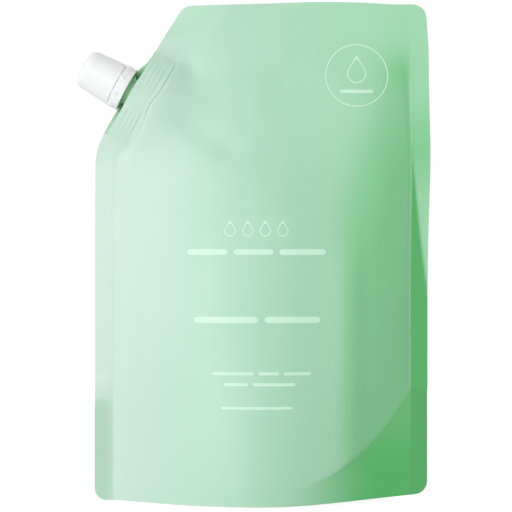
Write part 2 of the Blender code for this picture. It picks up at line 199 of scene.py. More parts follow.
# The spout's foot, and the film welded over it
BACK_LIP = 1.85 * MM
FRONT_CUT = 0.75 * MM
FRONT_CUT_MIDDLE = 1 * MM
FRONT_CUT_REACH = 20 * MM
FRONT_TONGUE_HALF_LENGTH = 9 * MM
LIP_MIDDLE = -5 * MM
LIP_HALF_LENGTH = 25 * MM
LIP_POWER = 2.5
LIP_CORNER = 1.5 * MM
LIP_CORNER_PLACE = 10.5 * MM
LIP_CORNER_WIDTH = 3 * MM
FILM_OVER_BOAT = 0.45 * MM
TENT_LENGTH = 66 * MM
TENT_SPREAD_UP = 0.5
TENT_SPREAD_DOWN = 2.2
TENT_SOFT_START = 14 * MM
TENT_ARCH_POWER = 1.2
TENT_ARCH_LEAST = 0.1
TIP_FADE = 3.5 * MM
GAP = 0.3 * MM
BOAT_HALF_LENGTH = 20 * MM
BOAT_HALF_THICKNESS = 5.9 * MM
BOAT_TIP_HALF_THICKNESS = 0.5 * MM
BOAT_DEPTH = 9.95 * MM
BOAT_SWELL_POWER = 0.9
BOAT_RIB_PITCH = 1.9 * MM
BOAT_FIRST_RIB = 1.9 * MM
POCKET_STEPS = 40
POCKET_OVERRUN = 3 * MM
WELD_LINES = 4
LINE_HALF_WIDTH = 0.4 * MM
RIDGE_OFFSET = 0.8 * MM
BORDER_BOW = 1.2 * MM
# Along the foot: height, place and half width of each group of lines and of each strong part of the border
LINE_GROUPS = ((0.55, 10 * MM, 6 * MM), (0.55, -11.5 * MM, 5.5 * MM))
BORDER_STRONG = ((0.65, 14 * MM, 8 * MM), (0.25, -17 * MM, 5 * MM))

# The neck and the cap, along the spout from the slanted edge
NECK_RADIUS = 5.8 * MM
NECK_TOP = 18.8 * MM
BAND_BOTTOM = 1.95 * MM
BAND_TOP = 6.4 * MM
CAP_RIM = 6.7 * MM
CAP_TOP = 22.4 * MM
CAP_ROOF = 20.3 * MM
CAP_BORE_RADIUS = 7.15 * MM
THREAD_LEAD = lift_joint["range_m"][1] / (turn_joint["range_deg"][1] / 360)
THREAD_STARTS = 2
RIM_ROUNDING = 0.3 * MM
DISH_RADIUS = 3.4 * MM
DISH_FLOOR_RADIUS = 3 * MM
DISH_DEPTH = 0.25 * MM
ROOF_LOOP_RADIUS = 5.6 * MM
BORE_CHAMFER = 0.5 * MM
RIB_START = 0.9 * MM  # above the rim
RIB_END_SHARE = 0.55  # of the top's rounding
RIB_FADE_UP = 0.5 * MM
RIB_FADE_DOWN = 1.6 * MM
THREAD_START = 1.6 * MM  # above the rim
THREAD_END = 9.4 * MM
THREAD_ROOT_HALF = 0.62 * MM
THREAD_CREST_HALF = 0.3 * MM
THREAD_SUNK = 0.1 * MM  # how far the ridges' roots lie in the wall that carries them
CAP_THREAD_CLEARANCE = 0.4 * MM
NECK_THREAD_HEIGHT = 0.95 * MM
NECK_THREAD_END = 1.4 * MM  # below the neck's lip
STEPS_PER_TURN = 48
BAND_RADIUS = 9.4 * MM
BAND_BORE_RADIUS = 8.05 * MM
BAND_LIP_RADIUS = 6.8 * MM
BAND_LIP_BOTTOM = 2.8 * MM
BAND_LIP_TOP = 3.55 * MM
BAND_FOOT_ROUNDING = 0.35 * MM
BAND_TOP_ROUNDING = 0.2 * MM
LEDGE_FOOT_RADIUS = 8.95 * MM
LEDGE_RADIUS = 8.9 * MM
LEDGE_BORE = 0.1 * MM
LEDGE_RISE = 0.2 * MM  # how far the band stands up behind the groove under the cap
BRIDGES = 8
BRIDGE_RADIUS = 9.3 * MM
BRIDGE_DROP = 0.95 * MM
BRIDGE_SIZE = (0.95 * MM, 1.4 * MM, 2.4 * MM)
BRIDGE_ROUNDING = 0.15 * MM
FIRST_BRIDGE = math.radians(23)
FOOT_COLOUR_END = 2.55 * MM  # along the spout, just past its shoulder

# The print on the front
BADGE_X = 39.4 * MM
BADGE_Z = 176.5 * MM
BADGE_DROP = (1 * MM, 4.3 * MM, 0.6 * MM)  # how far above the ring's middle, its radius and its line
BADGE_BAR = (-6.6 * MM, 14 * MM, 1.5 * MM)  # how far above the ring's middle, its length and its height
DROP_ROW_Z = 112 * MM
DROP_RADIUS = 2.5 * MM
DROP_LINE = 0.5 * MM
DROP_SQUASH = 0.95
DROP_PINCH = 0.55
DROP_STRETCH = 0.75
BAR_CELL = 1 * MM
BAR_LEAST_CELLS = 4
BAR_ROWS = 6

# The stage
PICTURE_WIDTH = 512  # in pixels
SENSOR_WIDTH = 36
FLOOR_SIZE = 6
FLOOR_DROP = 0.05 * MM
FLOOR_GLOW = 1.09
LAMP_SIZE = 0.9


def colour_setting(name, description, default):
    """A colour that can be set."""
    return FloatVectorProperty(name=name, description=description, subtype="COLOR", default=default)


def length_setting(name, description, default):
    """A length that can be set."""
    return FloatProperty(name=name, description=description, unit="LENGTH", default=default)


def power_setting(name, description, default):
    """A lamp's power that can be set."""
    return FloatProperty(name=name, description=description, unit="POWER", default=default)


class FilmSettings(bpy.types.PropertyGroup):
    """Colours and relief of the printed film."""

    # Pale, mint and green mint run across the pack: partly print, and partly a painted sheen on the
    # spout's side and painted shade on the far side, from the lamp at the left
    pale: colour_setting("Pale mint", "Film colour on the spout's side", (0.508, 0.688, 0.588))
    middle: colour_setting("Mint", "Film colour in the middle", (0.37, 0.628, 0.458))
    far: colour_setting("Green mint", "Film colour on the far side", (0.3, 0.638, 0.375))
    # The deep colour is painted shade, mixed in by the mesh's attribute
    deep: colour_setting("Deep mint", "Colour where it looks deepest", (0.055, 0.475, 0.105))
    edge: colour_setting("Cut edge", "Colour of the film's cut edge", (0.55, 0.74, 0.62))
    # The inside colour is darker as painted shade between the films round the spout's foot
    inside: colour_setting("Inside", "Colour inside the weld", (0.32, 0.64, 0.36))
    roughness: FloatProperty(name="Roughness", description="Satin finish", subtype="FACTOR", default=0.5)
    crease: length_setting("Crease depth", "Depth of the lines pressed into the weld", 0.35 * MM)


class CapSettings(bpy.types.PropertyGroup):
    """Form and colour of the cap and its band."""

    colour: colour_setting("Cap white", "Colour of the cap and the band", (0.85, 0.86, 0.855))
    ribs: IntProperty(name="Ribs", description="Upright ribs round the cap", default=40)
    rib_depth: length_setting("Rib depth", "How proud the ribs stand", 0.09 * MM)
    rim_radius: length_setting("Rim radius", "Cap radius at its rim", 9.3 * MM)
    top_radius: length_setting("Top radius", "Cap radius below its rounded top", 8.25 * MM)
    rounding: length_setting("Rounding", "Radius of the top edge", 2.9 * MM)


class PrintSettings(bpy.types.PropertyGroup):
    """The plain print on the front: a ring badge and bars in the place of words."""

    # The print's two colours carry painted sheen on the spout's side and painted shade on the far side, as
    # on the film
    pale: colour_setting("Pale print", "Print colour on the spout's side", (0.62, 0.84, 0.7))
    colour: colour_setting("Print", "Print colour on the far side", (0.56, 0.84, 0.64))
    lift: length_setting("Lift", "How far the ink lies off the film", 0.05 * MM)
    thickness: length_setting("Thickness", "How thick the ink is", 0.03 * MM)
    ring_radius: length_setting("Ring radius", "Radius of the badge's ring", 13.1 * MM)
    line_width: length_setting("Line width", "Width of drawn lines", 0.5 * MM)


class StageSettings(bpy.types.PropertyGroup):
    """Camera and light."""

    distance: length_setting("Camera distance", "From the camera to the pack's middle", 0.9)
    scale: FloatProperty(name="Picture scale", description="Pixels to a millimetre", default=2.4)
    centre_x: length_setting("Picture centre", "What the camera looks at, across", -2.4 * MM)
    centre_z: length_setting("Picture height", "What the camera looks at, up", 101.6 * MM)
    world: FloatProperty(name="World light", description="Strength of the even light", default=0.55)
    key_power: power_setting("Key power", "Power of the big soft lamp", 8.75)
    fill_power: power_setting("Fill power", "Power of the lamp at the left", 2.5)
    back_power: power_setting("Back power", "Power of the lamp behind", 5)


class RefillPackSettings(bpy.types.PropertyGroup):
    """All the sizes and colours a user would change."""

    film: PointerProperty(type=FilmSettings)
    cap: PointerProperty(type=CapSettings)
    ink: PointerProperty(type=PrintSettings)
    stage: PointerProperty(type=StageSettings)


def settings():
    """The scene's settings."""
    return bpy.context.scene.refill_pack


def select_only(*things):
    """Deselect everything, then select these and make the first one active."""
    if bpy.context.object and bpy.context.object.mode != "OBJECT":
        bpy.ops.object.mode_set(mode="OBJECT")
    bpy.ops.object.select_all(action="DESELECT")
    for thing in things:
        thing.select_set(True)
    bpy.context.view_layer.objects.active = things[0] if things else None


def start_editing(thing):
    """Open a mesh for editing with everything in it selected."""
    select_only(thing)
    bpy.ops.object.mode_set(mode="EDIT")
    bpy.ops.mesh.select_all(action="SELECT")


def clean_up(thing):
    """Merge doubles, close holes and turn the faces outwards."""
    start_editing(thing)
    bpy.ops.mesh.remove_doubles(threshold=MERGE_DISTANCE)
    bpy.ops.mesh.select_all(action="SELECT")
    bpy.ops.mesh.fill_holes(sides=0)
    bpy.ops.mesh.select_all(action="SELECT")
    bpy.ops.mesh.normals_make_consistent(inside=False)
    bpy.ops.object.mode_set(mode="OBJECT")


def apply_all(thing):
    """Apply every modifier in order."""
    select_only(thing)
    for modifier in list(thing.modifiers):
        bpy.ops.object.modifier_apply(modifier=modifier.name)


def settled(*things):
    """Apply the places, turns and scales of several objects, and join them into the first."""
    select_only(*things)
    bpy.ops.object.transform_apply(location=True, rotation=True, scale=True)
    if len(things) > 1:
        bpy.ops.object.join()
    return bpy.context.object


def onto_spout(thing):
    """Put a piece modelled upright at the origin in its place along the spout."""
    thing.matrix_world = spout_matrix @ thing.matrix_world
    settled(thing)


def paint(thing, material):
    """Give an object this material alone."""
    thing.data.materials.clear()
    thing.data.materials.append(material)


def finish_piece(thing, body, material=None, angle=35):
    """Shade a piece, give it its material if it has none yet and let it ride on its body."""
    select_only(thing)
    bpy.ops.object.shade_smooth_by_angle(angle=math.radians(angle))
    if material:
        paint(thing, material)
    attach(thing, body)


def smooth(value):
    """0 below 0, 1 above 1, and a smooth rise between, for arrays."""
    held = np.clip(value, 0, 1)
    return held * held * (3 - 2 * held)


def rise(value, start, reach):
    """A smooth rise from 0 at start to 1 a reach further on."""
    return smooth((value - start) / reach)


def hump(value, width):
    """1 at 0, dying out smoothly on both sides."""
    return np.exp(-((value / width) ** 2))


def humps(value, rows):
    """Humps added up, from the height, the place and the half width of each."""
    return sum(height * hump(value - place, width) for height, place, width in rows)


def base_rounding(z):
    """How far a side comes in at the rounded base corner."""
    up = np.maximum(BASE_CORNER_RADIUS - z, 0)
    return BASE_CORNER_RADIUS - np.sqrt(np.maximum(BASE_CORNER_RADIUS**2 - up * up, 0))


def slant_rise(z):
    """How far up the slanted edge a height is, 0 below it, with a soft start."""
    up = z - (PACK_HEIGHT - SLANT_DROP)
    return (up + np.hypot(up, SLANT_CORNER_SOFTNESS)) / 2


def left_edge(z, side):
    """The pack's left edge at a height: upright, then slanted, then rounded into the top.

    Over the spout's foot the back film (side 1) stands out, and the front one is cut back on both sides.
    """
    across = (z - spout_place.z) / math.sin(SLANT)
    if side > 0:
        bow = BACK_LIP * np.maximum(1 - np.abs((across - LIP_MIDDLE) / LIP_HALF_LENGTH) ** LIP_POWER, 0)
        bow = bow + LIP_CORNER * hump(across - LIP_CORNER_PLACE, LIP_CORNER_WIDTH)
    else:
        off = across - FRONT_CUT_MIDDLE
        bow = -FRONT_CUT * np.maximum(1 - (off / FRONT_CUT_REACH) ** 2, 0)
        bow = bow * (1 - hump(off, FRONT_TONGUE_HALF_LENGTH))
    x = slant_rise(z) / math.tan(SLANT) - HALF_WIDTH - bow / math.sin(SLANT)
    centre = SLANT_WIDTH - HALF_WIDTH + TOP_CORNER_RADIUS * math.tan(SLANT / 2)
    up = z - (PACK_HEIGHT - TOP_CORNER_RADIUS)
    rounded = centre - np.sqrt(np.maximum(TOP_CORNER_RADIUS**2 - up * up, 0))
    starts = PACK_HEIGHT - TOP_CORNER_RADIUS * (1 - math.cos(SLANT))
    return np.where(z > starts, rounded, x) + base_rounding(z)


def right_edge(z):
    """The pack's right edge at a height."""
    up = np.maximum(z - (PACK_HEIGHT - TOP_CORNER_RADIUS), 0)
    top_rounding = TOP_CORNER_RADIUS - np.sqrt(np.maximum(TOP_CORNER_RADIUS**2 - up * up, 0))
    return HALF_WIDTH - top_rounding - base_rounding(z)


def left_seam_end(z):
    """The inner side of the left seam at a height."""
    up = slant_rise(z)
    share = smooth(up / SLANT_CORNER_SOFTNESS)
    return up / math.tan(SLANT) - HALF_WIDTH + SIDE_SEAM * (1 + share * (1 / math.sin(SLANT) - 1))


def boat_half_at(across):
    """Half the thickness of the spout's foot, this far from its middle."""
    share = np.minimum(np.abs(across) / BOAT_HALF_LENGTH, 1)
    swell = np.maximum(np.cos(share * math.pi / 2), 0) ** BOAT_SWELL_POWER
    return BOAT_TIP_HALF_THICKNESS + (BOAT_HALF_THICKNESS - BOAT_TIP_HALF_THICKNESS) * swell


def spout_coordinates(x, z):
    """Distance across the spout's axis and distance inwards from the slanted edge."""
    off_x, off_z = x - spout_place.x, z - spout_place.z
    return off_x * spout_across.x + off_z * spout_across.z, -off_x * spout_out.x - off_z * spout_out.z


def spout_swell(x, z):
    """How far the film stands off over the spout's foot, and behind it where it is held up like a tent."""
    across, inward = spout_coordinates(x, z)
    spread = np.where(across > 0, TENT_SPREAD_UP, TENT_SPREAD_DOWN) * np.maximum(inward - BOAT_DEPTH, 0)
    across = across * BOAT_HALF_LENGTH / (BOAT_HALF_LENGTH + spread)
    past_tip = np.maximum(np.abs(across) - BOAT_HALF_LENGTH - GAP, 0)
    over = boat_half_at(across) + GAP + FILM_OVER_BOAT - SEAM_HALF
    over = over * np.exp(-past_tip / TIP_FADE)
    arch = np.cos(np.minimum(np.abs(across) / BOAT_HALF_LENGTH, 1) * math.pi / 2)
    softness = TENT_ARCH_POWER * rise(inward, BOAT_DEPTH, TENT_SOFT_START)
    over = over * np.maximum(arch, TENT_ARCH_LEAST) ** softness
    return over * (1 - rise(inward, BOAT_DEPTH + 2 * GAP, TENT_LENGTH))


def base_seam_height(x):
    """The height of the curved base seam."""
    reach = np.minimum(np.abs(x) / RIGHT_SEAM_END, 1)
    return BASE_SEAM_HEIGHT + BASE_SEAM_RISE * reach**BASE_SEAM_POWER


def fill_at(x, z):
    """How far the filled pack alone stands off its middle plane."""
    low = left_seam_end(z)
    place = np.clip((x - low) / (RIGHT_SEAM_END - low) * 2 - 1, -1, 1)
    height = np.clip(z / FILL_TOP, 0, 1)
    power = BULGE_POWER + (LEFT_BULGE_POWER - BULGE_POWER) * smooth(-place)
    return BASE_HALF_DEPTH * (1 - height**FILL_POWER) * (1 - place**2) ** power


def fold(x, z, start, end, width, depth):
    """A soft fold along a line: a ridge where depth is positive, a valley where it is negative."""
    run_x, run_z = (end[0] - start[0]) * MM, (end[1] - start[1]) * MM
    length = math.hypot(run_x, run_z)
    off_x, off_z = x - start[0] * MM, z - start[1] * MM
    along = (off_x * run_x + off_z * run_z) / length**2
    aside = (off_x * run_z - off_z * run_x) / length
    fade = rise(along, -FOLD_FADE / 2, FOLD_FADE) * rise(1 - along, -FOLD_FADE / 2, FOLD_FADE)
    return depth * MM * hump(aside, width * MM) * fade


# Soft folds: start and end in millimetres across and up, half width, and how far they stand out
FRONT_FOLDS = (
    ((36, 2), (37, 96), 8, 1.1),
    ((38, 92), (55, 142), 8, 0.9),
    ((42.5, 12), (42.5, 110), 3.4, -0.3),
    ((-43, 165), (-10, 144), 6, -0.75),
    ((-37, 172), (4, 170), 8, 0.6),
    ((-26, 150), (20, 108), 12, 0.5),
    ((-64, 122), (-66, 104), 4, -0.5),
    ((20, 186), (52, 160), 9, 0.55),
    ((-8, 202), (0, 188), 3.5, -0.3),
    ((12, 204), (6, 184), 4, 0.3),
    ((54, 189), (69, 193), 1.5, -0.3),
)
BACK_FOLDS = (
    ((-38, 4), (-39, 90), 5, -1.2),
    ((42, 2), (40, 80), 5, -1.0),
    ((-36, 158), (-2, 132), 7, -0.8),
    ((-30, 176), (30, 160), 9, 0.5),
    ((10, 90), (50, 150), 12, 0.5),
)


def waviness(x, z, turn):
    """The faint unevenness of a full film bag."""
    wave = np.sin(x / (9 * MM) + 1.7 * np.sin(z / (31 * MM) + turn) + turn)
    wave = wave * np.sin(z / (17 * MM) + 1.3 * np.sin(x / (23 * MM)) + 2 * turn)
    slow = np.sin(x / (26 * MM) - z / (39 * MM) + 3 * turn)
    return SHORT_WAVE * wave + LONG_WAVE * slow


def weld_relief(x, z, depth):
    """Fine lines pressed in between the foot's ribs, and the weld's border, which bows out."""
    across, inward = spout_coordinates(x, z)
    from_tip = BOAT_HALF_LENGTH - np.abs(across)
    lines = 0
    for line in range(WELD_LINES):
        past = inward - BOAT_FIRST_RIB - (line + 0.5) * BOAT_RIB_PITCH
        lines = lines + 0.4 * hump(past + RIDGE_OFFSET, LINE_HALF_WIDTH) - hump(past, LINE_HALF_WIDTH)
    lines = lines * humps(across, LINE_GROUPS)
    past = inward - BOAT_DEPTH - BORDER_BOW * (1 - hump(across + 1.5 * MM, 5 * MM))
    border = 0.7 * hump(past + 0.9 * MM, 0.45 * MM) - hump(past, 0.5 * MM)
    border = border * (0.35 + humps(across, BORDER_STRONG)) * rise(from_tip, -0.5 * MM, 3 * MM)
    return (lines + border) * depth * rise(from_tip, -2 * MM, 3 * MM)


def right_bead(x, z):
    """The narrow bead where the filled film meets the right seam."""
    height = BEAD_FAINT + (1 - BEAD_FAINT) * rise(z, BEAD_FULL, BEAD_FADE)
    height = BEAD_HEIGHT * height * (1 - rise(z, BEAD_TOP, BEAD_FADE))
    return height * hump(x - RIGHT_SEAM_END - BEAD_HALF_WIDTH, BEAD_HALF_WIDTH)


def above_base_seam(x, z):
    """0 on the flap under the curved base seam, 1 above it."""
    return rise(z, base_seam_height(x) - 0.5 * MM, 1 * MM)


def edge_fullness(x, z):
    """The filled film rises steeply from its right seam, down to the base seam."""
    inward = np.maximum(RIGHT_SEAM_END - x, 0)
    fullness = (1 - np.exp(-inward / EDGE_REACH)) * (1 - rise(inward, 2 * EDGE_REACH, EDGE_FADE))
    return EDGE_FULLNESS * fullness * (1 - rise(z, *EDGE_HEAD)) * rise(z, *EDGE_FOOT)


def base_tuck(x, z):
    """The share by which the film lies back below the curved base seam, most of all on the right."""
    below = np.maximum(base_seam_height(x) - z, 0)
    share = TUCK_LEAST + (1 - TUCK_LEAST) * rise(x, *TUCK_WIDTH)
    return share * BASE_TUCK * (1 - np.exp(-below / BASE_TUCK_REACH))


def relief(x, z, side):
    """What creases, folds and welds add to the film's stand-off."""
    fill = fill_at(x, z)
    pressed = weld_relief(x, z, settings().film.crease)
    pressed = pressed * smooth(fill / (1 * MM) + (spout_swell(x, z) > 1 * MM))
    soft = waviness(x, z, 0.6 if side < 0 else 2.1)
    for start, end, width, depth in FRONT_FOLDS if side < 0 else BACK_FOLDS:
        soft = soft + fold(x, z, start, end, width, depth)
    on_flap = (1 - above_base_seam(x, z)) * smooth(x / (30 * MM))
    soft = soft * (1 - 0.7 * on_flap) * smooth(fill / (4 * MM))
    return pressed + soft + edge_fullness(x, z) * smooth(fill / (0.4 * MM)) + right_bead(x, z)


def right_lean(z):
    """How wide a part of the right seam leans back at a height."""
    return SIDE_SEAM * np.maximum((RIGHT_LEAN_TOP - z) / RIGHT_LEAN_REACH, 0) ** RIGHT_LEAN_POWER


def flank_start(z):
    """Where the filled film turns towards its right side, at a height."""
    return FLANK_X + FLANK_SPREAD * rise(z, *FLANK_TURN)


def top_corner(x, z):
    """How far a point lies beyond the soft fold across the top left corner."""
    past = (TOP_FOLD_X - x) + (z - TOP_FOLD_Z) * TOP_FOLD_SLOPE
    return (past + np.hypot(past, TOP_FOLD_SOFTNESS)) / 2 * rise(z, TOP_FOLD_Z - 9 * MM, 14 * MM)


def painted_shade(x, z):
    """How much painted shade the film gets: on the right flank, the flap under the base seam, the seams,
    the top left corner and a spot at the top right.
    """
    softness = FLANK_SOFTNESS * (1 + rise(z, *FLANK_SOFTENS))
    # Painted shade on the right flank, where the film turns away from the light
    flank = FLANK_SHADE * smooth((x - flank_start(z)) / softness + 0.5)
    flank = flank * (1 - rise(z, FLANK_FADE, 80 * MM)) * (x < RIGHT_SEAM_END)
    # Painted shade on the flap under the base seam, strongest at its foot
    flap = (1 - above_base_seam(x, z)) * rise(x, FLAP_START, FLAP_REACH)
    flap = flap * (1 - FLAP_PALER * rise(z, *FLAP_PALES))
    # Painted shade on the right seam where it leans back, deepest below the gusset
    strip = STRIP_SHADE + (1 - STRIP_SHADE) * smooth((GUSSET_TOP - z) / (1 * MM))
    strip = strip * rise(x, RIGHT_SEAM_END, 0.4 * MM)
    strip = strip * smooth((RIGHT_SEAM_END + right_lean(z) - x) / (1.1 * MM) + 0.3)
    shade = SEAM_SHADE * hump(z - SEAM_SHADE_HEIGHT, SEAM_SHADE_REACH) * (x >= RIGHT_SEAM_END)
    # Painted shade on the left seam below the base's fold, where it leans
    left_strip = LEFT_STRIP_SHADE * smooth((SIDE_SEAM - HALF_WIDTH - x) / LEFT_STRIP_SOFTNESS)
    left_strip = left_strip * smooth((LEFT_FOLD_HEIGHT - z) / (1.5 * MM) + 0.5)
    # Painted shade at the top left corner and in a spot at the top right
    corner = CORNER_SHADE * smooth(top_corner(x, z) / CORNER_SOFTNESS)
    shade_spot = SHADE_SPOT_STRENGTH * hump(x - SHADE_SPOT_X, SHADE_SPOT_REACH) * hump(z - SHADE_SPOT_Z, SHADE_SPOT_REACH)
    return np.clip(np.maximum.reduce([flank, flap, strip, shade, corner, left_strip]) + shade_spot, 0, 1)


def middle_plane(x, z):
    """How far the seams leave the middle plane: the right one leans back, the left one's foot forward."""
    slope = RIGHT_SEAM_SLOPE + GUSSET_LEAN * smooth((GUSSET_TOP - z) / GUSSET_STEP)
    right = slope * np.clip(x - RIGHT_SEAM_END, 0, right_lean(z))
    left = np.maximum(SIDE_SEAM - HALF_WIDTH - x, 0)
    forward = LEFT_SEAM_SLOPE * smooth((LEFT_LEAN_TOP - z) / LEFT_LEAN_REACH)
    back = LEFT_SEAM_BACK * rise(z, LEFT_LEAN_TOP, 8 * MM) * (1 - rise(z, LEFT_BACK_END, 14 * MM))
    return right - left * (forward - back) + TOP_FOLD_LEAN * top_corner(x, z)


def half_depth(x, z, side):
    """How far the film's face stands off the pack's middle plane."""
    fill = fill_at(x, z) * (1 - base_tuck(x, z))
    swell = spout_swell(x, z)
    body = SEAM_HALF + np.cbrt(fill**3 + swell**3)
    return np.maximum(body + relief(x, z, side), SEAM_HALF)


def lifted(x, z):
    """A point's height once the right-hand base corner is lifted and the top edge is bent a little."""
    lift = BASE_LIFT * smooth(x / HALF_WIDTH) * (1 - smooth(z / BASE_LIFT_HEIGHT))
    return z + lift + humps(x, TOP_WAVES) * rise(z, *TOP_BENDS)


def pulled(x, z):
    """A point's x once the right edge is pulled in at the top and out below it."""
    out = hump(z - RIGHT_BOW_PLACE, RIGHT_BOW_WIDTH) - rise(z, *RIGHT_PULLED_IN)
    return x + RIGHT_BOW * out * rise(x, *RIGHT_PULLED_WIDTH)


def column_x(column, z, side):
    """The x of a column of the film's mesh at a height."""
    low, high = left_seam_end(z), RIGHT_SEAM_END
    edge = left_edge(z, side)
    inner = np.clip((column - SEAM_COLUMNS_LEFT) / FILL_COLUMNS, 0, 1)
    inner = inner - CLOSENESS * np.sin(math.tau * inner) / math.tau
    left = edge + (low - edge) * np.clip(column / SEAM_COLUMNS_LEFT, 0, 1)
    beyond = np.clip((column - SEAM_COLUMNS_LEFT - FILL_COLUMNS) / SEAM_COLUMNS_RIGHT, 0, 1)
    right = high + (right_edge(z) - high) * beyond**CROWDING
    middle = low + (high - low) * inner
    return np.where(column < SEAM_COLUMNS_LEFT, left, np.where(beyond > 0, right, middle))


def row_heights():
    """The heights of the rows of the film's mesh, closer together at the spout and round the corners."""
    arc = 1 - np.cos(np.linspace(0, math.pi / 2, 8))
    low = BASE_CORNER_RADIUS * arc
    high = PACK_HEIGHT - TOP_CORNER_RADIUS * arc[::-1]
    belly = np.arange(low[-1] + ROW, SPOUT_ROWS_START, ROW)
    spout = np.arange(SPOUT_ROWS_START, FILL_TOP, SPOUT_ROW)
    top = np.linspace(FILL_TOP, high[0], 5)[:-1]
    return np.concatenate([low, belly, spout, top, high])


def panel_points(column, z, side):
    """Points of the film's front (side -1) or back (side 1)."""
    x = column_x(column, z, side)
    y = middle_plane(x, z) + side * half_depth(x, z, side)
    return np.stack([pulled(x, z), y, lifted(x, z)], axis=-1)


def panel_shade(column, z):
    """How much painted shade points of the front or back get."""
    return painted_shade(column_x(column, z, 1), z)


def both_sides(is_front, column, z):
    """Points of the front where is_front says so, and of the back elsewhere."""
    return np.where(is_front[:, None], panel_points(column, z, -1), panel_points(column, z, 1))


def under_points(column, step):
    """Points from the front's lower edge up its flap, over the folded base and down to the back."""
    side = np.where(step * 2 < UNDER_STEPS, -1, 1)
    from_edge = np.minimum(step, UNDER_STEPS - step)
    x = column_x(column, np.zeros_like(column), -1)
    opening = smooth((RIGHT_SEAM_END - FOLD_END_MARGIN - np.abs(x)) / FOLD_END_MARGIN)
    seam = base_seam_height(x)
    z = seam * opening * np.clip((from_edge - 1) / (FLAP_STEPS - 1), 0, 1)
    flap = np.minimum(FLAP_THICKNESS, FLAP_SHARE * half_depth(x, 0 * x, -1))
    standoff = np.where(side < 0, half_depth(x, z, -1), half_depth(x, z, 1)) - flap
    place = 1 - np.clip((from_edge - FLAP_STEPS) / (FOLD_STEPS / 2), 0, 1)
    ridge = seam * rise(np.abs(x), RESTING_HALF_LENGTH, RIGHT_SEAM_END - RESTING_HALF_LENGTH)
    climb = rise(place, RESTING_SHARE, 1 - RESTING_SHARE)
    height = np.where(from_edge <= FLAP_STEPS, z, (ridge + (seam - ridge) * climb) * opening)
    inner = np.stack([x, middle_plane(x, z) + side * standoff * place, lifted(x, height)], axis=-1)
    return np.where((from_edge == 0)[:, None], both_sides(side < 0, column, 0 * column), inner)


def add_sheet(columns, steps, place, depth=None):
    """A flat grid whose points are moved to where place says, with depth as its painted shade attribute.
    """
    across_count, up_count = len(columns) - 1, len(steps) - 1
    bpy.ops.mesh.primitive_grid_add(x_subdivisions=across_count, y_subdivisions=up_count, size=1)
    sheet = bpy.context.object
    flat = np.zeros(len(sheet.data.vertices) * 3)
    sheet.data.vertices.foreach_get("co", flat)
    flat = flat.reshape(-1, 3)
    across = columns[np.rint((flat[:, 0] + 0.5) * across_count).astype(int)]
    up = steps[np.rint((flat[:, 1] + 0.5) * up_count).astype(int)]
    sheet.data.vertices.foreach_set("co", place(across, up).ravel())
    attribute = sheet.data.attributes.new(SHADE_ATTRIBUTE, "FLOAT", "POINT")
    if depth:
        attribute.data.foreach_set("value", depth(across, up).astype(np.float32))
    return sheet


def seam_edge(column, rows):
    """The narrow face between front and back along one side of the outline."""

    def place(step, z):
        return both_sides(step < 0.5, np.full_like(z, column), z)

    # depth gives the painted shade along the seam
    def depth(step, z):
        return panel_shade(np.full_like(z, column), z)

    return add_sheet(np.array([0.0, 1.0]), rows, place, depth)


def top_edge(column, step):
    """The narrow face between front and back along the top."""
    return both_sides(step < 0.5, column, np.full_like(column, PACK_HEIGHT))


def points_of(thing):
    """A mesh's points as an array."""
    points = np.zeros(len(thing.data.vertices) * 3)
    thing.data.vertices.foreach_get("co", points)
    return points.reshape(-1, 3)


def mark_right_crease(film):
    """Keep the crease sharp where the filled film meets the right seam."""
    x, z = points_of(film)[:, 0], points_of(film)[:, 2]
    on_crease = np.abs(x - pulled(RIGHT_SEAM_END, z)) < 0.02 * MM
    on_crease &= (z > BASE_CORNER_RADIUS) & (z < 190 * MM)
    for edge in film.data.edges:
        if on_crease[edge.vertices[0]] and on_crease[edge.vertices[1]]:
            edge.use_edge_sharp = True


